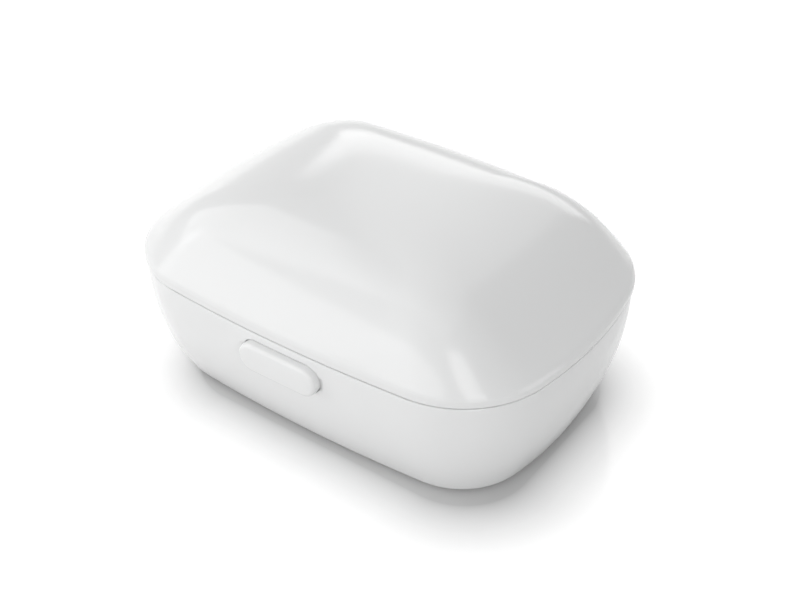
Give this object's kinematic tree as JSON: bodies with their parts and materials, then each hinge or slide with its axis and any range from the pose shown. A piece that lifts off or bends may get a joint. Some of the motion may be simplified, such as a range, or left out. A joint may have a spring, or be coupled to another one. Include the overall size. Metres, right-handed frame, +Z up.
{
  "type": "hearing aid charger",
  "caption": "Pebble-shaped case with a hinged lid, a long front release button and a tray of shaped wells that charge a pair of hearing aids.",
  "frame": {"origin": "on the table, below the middle of the charger", "axes": "+Z up, the release button on the -Y side, +X along the case to the right of somebody facing the button"},
  "size_m": [0.1, 0.0736, 0.0468],
  "materials": {
    "white_case": "glossy",
    "white_button": "glossy",
    "inner_plastic": "fine matte",
    "tray_plastic": "fine matte",
    "soft_pad": "matte",
    "foot_rubber": "matte",
    "spring_steel": "satin",
    "screw_steel": "satin",
    "pin_steel": "polished",
    "contact_gold": "polished",
    "board_green": "satin",
    "chip_black": "matte",
    "light_yellow": "satin",
    "clear_pipe": "clear",
    "socket_steel": "satin",
    "battery_grey": "satin"
  },
  "bodies": {
    "base": {"base_shell": "white_case", "bottom_cover": "inner_plastic", "rubber_feet": "foot_rubber", "cover_screws": "screw_steel", "charging_tray": "tray_plastic", "tray_screws": "screw_steel", "contact_pins": "contact_gold", "main_board": "board_green", "board_screws": "screw_steel", "board_chips": "chip_black", "status_lights": "light_yellow", "light_pipes": "clear_pipe", "usb_socket": "socket_steel", "battery_pack": "battery_grey", "button_springs": "spring_steel", "hinge_pin": "pin_steel", "hinge_spring": "spring_steel"},
    "lid": {"lid_shell": "white_case", "lid_liner": "inner_plastic", "lid_pads": "soft_pad", "lid_catch": "spring_steel", "catch_screws": "screw_steel"},
    "button": {"release_button": "white_button"}
  },
  "joints": [
    {"name": "lid_hinge", "type": "hinge", "parent": "base", "child": "lid", "pos_m": [0, 0.03504, 0.02797], "axis": [-1, 0, 0], "range_deg": [0, 105], "deforming": ["hinge_spring", "lid_catch"]},
    {"name": "button_press", "type": "slide", "parent": "base", "child": "button", "axis": [0, 1, 0], "range_m": [0, 0.0013], "stiffness_N_per_m": 400, "springref_m": -0.0005, "deforming": ["button_springs", "lid_catch"]}
  ]
}
